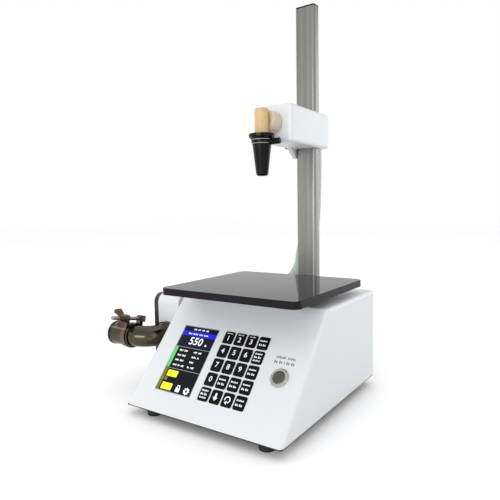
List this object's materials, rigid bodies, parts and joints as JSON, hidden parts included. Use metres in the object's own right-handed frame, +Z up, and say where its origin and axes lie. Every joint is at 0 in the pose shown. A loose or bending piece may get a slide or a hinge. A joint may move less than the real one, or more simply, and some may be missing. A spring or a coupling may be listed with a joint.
{
  "type": "benchtop liquid filling machine",
  "caption": "Benchtop weighing filler with a gear pump, sliding nozzle arm on a column, glass weigh tray, screen and keypad.",
  "frame": {"origin": "centre of the whole machine's footprint box, on the table", "axes": "+Z up, the sloping control panel and the nozzle face -Y, the pump compartment and inlet are on -X"},
  "size_m": [0.2874, 0.3182, 0.4958],
  "materials": {
    "black_steel": "satin black paint",
    "white_paint": "fine-textured white powder coat",
    "rubber": "matt",
    "steel": "plated",
    "anodised": "satin anodised",
    "black_plastic": "gloss",
    "dark_plastic": "smoked, gloss",
    "stainless": "polished stainless steel",
    "motor_paint": "satin",
    "hose": "translucent food-grade silicone",
    "display_glass": "gloss",
    "board_green": "solder mask",
    "key_rubber": "satin",
    "galvanised": "galvanised sheet",
    "tray_glass": "dark tinted, polished",
    "clear_plastic": "clear acrylic"
  },
  "bodies": {
    "base": {"base_pan": "black_steel", "rubber_feet": "rubber", "casing_shell": "white_paint", "rear_panel": "white_paint", "case_screws": "steel", "cap_screws": "steel", "column": "anodised", "column_cap": "black_plastic", "column_socket": "anodised", "pump_housing": "white_paint", "pump_side_cover": "dark_plastic", "pump_body": "stainless", "pump_flange_plate": "stainless", "gearmotor": "motor_paint", "inlet_collar": "stainless", "inlet_elbow": "stainless", "inlet_cuff": "stainless", "clamp_band": "stainless", "clamp_bolt": "stainless", "outlet_hose": "hose", "display_module": "display_glass", "control_board": "board_green", "start_button_body": "steel", "power_supply": "galvanised", "mains_inlet": "black_plastic", "load_cell": "anodised", "load_cell_bracket": "anodised", "tray_carrier": "anodised", "tray_pads": "rubber"},
    "tray": {"weigh_tray": "tray_glass"},
    "arm": {"arm_housing": "white_paint", "sight_chamber": "clear_plastic", "nozzle": "black_plastic", "arm_hose_elbow": "stainless"},
    "arm_knob": {"arm_clamp_knob": "black_plastic"},
    "pump_driver": {"drive_gear": "stainless"},
    "pump_idler": {"driven_gear": "stainless"},
    "clamp_nut": {"wing_nut": "stainless"},
    "start_button": {"start_button": "steel"},
    "power_rocker": {"power_rocker": "black_plastic"},
    "key_1": {"key_1": "key_rubber"},
    "key_2": {"key_2": "key_rubber"},
    "key_3": {"key_3": "key_rubber"},
    "key_type": {"key_type": "key_rubber"},
    "key_4": {"key_4": "key_rubber"},
    "key_5": {"key_5": "key_rubber"},
    "key_6": {"key_6": "key_rubber"},
    "key_start": {"key_start": "key_rubber"},
    "key_7": {"key_7": "key_rubber"},
    "key_8": {"key_8": "key_rubber"},
    "key_9": {"key_9": "key_rubber"},
    "key_trigger": {"key_trigger": "key_rubber"},
    "key_0": {"key_0": "key_rubber"},
    "key_auto": {"key_auto": "key_rubber"},
    "key_weight": {"key_weight": "key_rubber"},
    "key_feed": {"key_feed": "key_rubber"},
    "key_clear": {"key_clear": "key_rubber"},
    "key_down": {"key_down": "key_rubber"},
    "key_back": {"key_back": "key_rubber"},
    "key_wash": {"key_wash": "key_rubber"}
  },
  "joints": [
    {"name": "arm_slide", "type": "slide", "parent": "base", "child": "arm", "axis": [0, 0, 1], "range_m": [-0.1, 0.12], "deforming": ["outlet_hose"]},
    {"name": "arm_knob_turn", "type": "hinge", "parent": "arm", "child": "arm_knob", "pos_m": [0.02955, 0.06815, 0.324], "axis": [1, 0, 0], "range_deg": [0, 360]},
    {"name": "tray_lift", "type": "slide", "parent": "base", "child": "tray", "axis": [0, 0, 1], "range_m": [0, 0.02]},
    {"name": "pump_drive_turn", "type": "hinge", "parent": "base", "child": "pump_driver", "pos_m": [-0.07925, -0.0021, 0.057], "axis": [1, 0, 0], "continuous": true},
    {"name": "pump_idler_turn", "type": "hinge", "parent": "base", "child": "pump_idler", "pos_m": [-0.07925, -0.0021, 0.087], "axis": [1, 0, 0], "continuous": true},
    {"name": "wing_nut_turn", "type": "hinge", "parent": "base", "child": "clamp_nut", "pos_m": [-0.11525, -0.09669, 0.09274], "axis": [0, 0.9781, -0.2079], "range_deg": [-720, 90]},
    {"name": "start_button_push", "type": "slide", "parent": "base", "child": "start_button", "axis": [0, 0.7396, -0.673], "range_m": [0, 0.0015], "stiffness_N_per_m": 900, "springref_m": -0.002},
    {"name": "power_rocker_tilt", "type": "hinge", "parent": "base", "child": "power_rocker", "pos_m": [0.08875, 0.0789, 0.047], "axis": [1, 0, 0], "range_deg": [-14, 0]},
    {"name": "key_1_push", "type": "slide", "parent": "base", "child": "key_1", "axis": [0, 0.7396, -0.673], "range_m": [0, 0.0006], "stiffness_N_per_m": 1000, "springref_m": -0.001},
    {"name": "key_2_push", "type": "slide", "parent": "base", "child": "key_2", "axis": [0, 0.7396, -0.673], "range_m": [0, 0.0006], "stiffness_N_per_m": 1000, "springref_m": -0.001},
    {"name": "key_3_push", "type": "slide", "parent": "base", "child": "key_3", "axis": [0, 0.7396, -0.673], "range_m": [0, 0.0006], "stiffness_N_per_m": 1000, "springref_m": -0.001},
    {"name": "key_type_push", "type": "slide", "parent": "base", "child": "key_type", "axis": [0, 0.7396, -0.673], "range_m": [0, 0.0006], "stiffness_N_per_m": 1000, "springref_m": -0.001},
    {"name": "key_4_push", "type": "slide", "parent": "base", "child": "key_4", "axis": [0, 0.7396, -0.673], "range_m": [0, 0.0006], "stiffness_N_per_m": 1000, "springref_m": -0.001},
    {"name": "key_5_push", "type": "slide", "parent": "base", "child": "key_5", "axis": [0, 0.7396, -0.673], "range_m": [0, 0.0006], "stiffness_N_per_m": 1000, "springref_m": -0.001},
    {"name": "key_6_push", "type": "slide", "parent": "base", "child": "key_6", "axis": [0, 0.7396, -0.673], "range_m": [0, 0.0006], "stiffness_N_per_m": 1000, "springref_m": -0.001},
    {"name": "key_start_push", "type": "slide", "parent": "base", "child": "key_start", "axis": [0, 0.7396, -0.673], "range_m": [0, 0.0006], "stiffness_N_per_m": 1000, "springref_m": -0.001},
    {"name": "key_7_push", "type": "slide", "parent": "base", "child": "key_7", "axis": [0, 0.7396, -0.673], "range_m": [0, 0.0006], "stiffness_N_per_m": 1000, "springref_m": -0.001},
    {"name": "key_8_push", "type": "slide", "parent": "base", "child": "key_8", "axis": [0, 0.7396, -0.673], "range_m": [0, 0.0006], "stiffness_N_per_m": 1000, "springref_m": -0.001},
    {"name": "key_9_push", "type": "slide", "parent": "base", "child": "key_9", "axis": [0, 0.7396, -0.673], "range_m": [0, 0.0006], "stiffness_N_per_m": 1000, "springref_m": -0.001},
    {"name": "key_trigger_push", "type": "slide", "parent": "base", "child": "key_trigger", "axis": [0, 0.7396, -0.673], "range_m": [0, 0.0006], "stiffness_N_per_m": 1000, "springref_m": -0.001},
    {"name": "key_0_push", "type": "slide", "parent": "base", "child": "key_0", "axis": [0, 0.7396, -0.673], "range_m": [0, 0.0006], "stiffness_N_per_m": 1000, "springref_m": -0.001},
    {"name": "key_auto_push", "type": "slide", "parent": "base", "child": "key_auto", "axis": [0, 0.7396, -0.673], "range_m": [0, 0.0006], "stiffness_N_per_m": 1000, "springref_m": -0.001},
    {"name": "key_weight_push", "type": "slide", "parent": "base", "child": "key_weight", "axis": [0, 0.7396, -0.673], "range_m": [0, 0.0006], "stiffness_N_per_m": 1000, "springref_m": -0.001},
    {"name": "key_feed_push", "type": "slide", "parent": "base", "child": "key_feed", "axis": [0, 0.7396, -0.673], "range_m": [0, 0.0006], "stiffness_N_per_m": 1000, "springref_m": -0.001},
    {"name": "key_clear_push", "type": "slide", "parent": "base", "child": "key_clear", "axis": [0, 0.7396, -0.673], "range_m": [0, 0.0006], "stiffness_N_per_m": 1000, "springref_m": -0.001},
    {"name": "key_down_push", "type": "slide", "parent": "base", "child": "key_down", "axis": [0, 0.7396, -0.673], "range_m": [0, 0.0006], "stiffness_N_per_m": 1000, "springref_m": -0.001},
    {"name": "key_back_push", "type": "slide", "parent": "base", "child": "key_back", "axis": [0, 0.7396, -0.673], "range_m": [0, 0.0006], "stiffness_N_per_m": 1000, "springref_m": -0.001},
    {"name": "key_wash_push", "type": "slide", "parent": "base", "child": "key_wash", "axis": [0, 0.7396, -0.673], "range_m": [0, 0.0006], "stiffness_N_per_m": 1000, "springref_m": -0.001}
  ],
  "couplings": [
    {"joint": "pump_idler_turn", "follows": "pump_drive_turn", "ratio": -1}
  ]
}
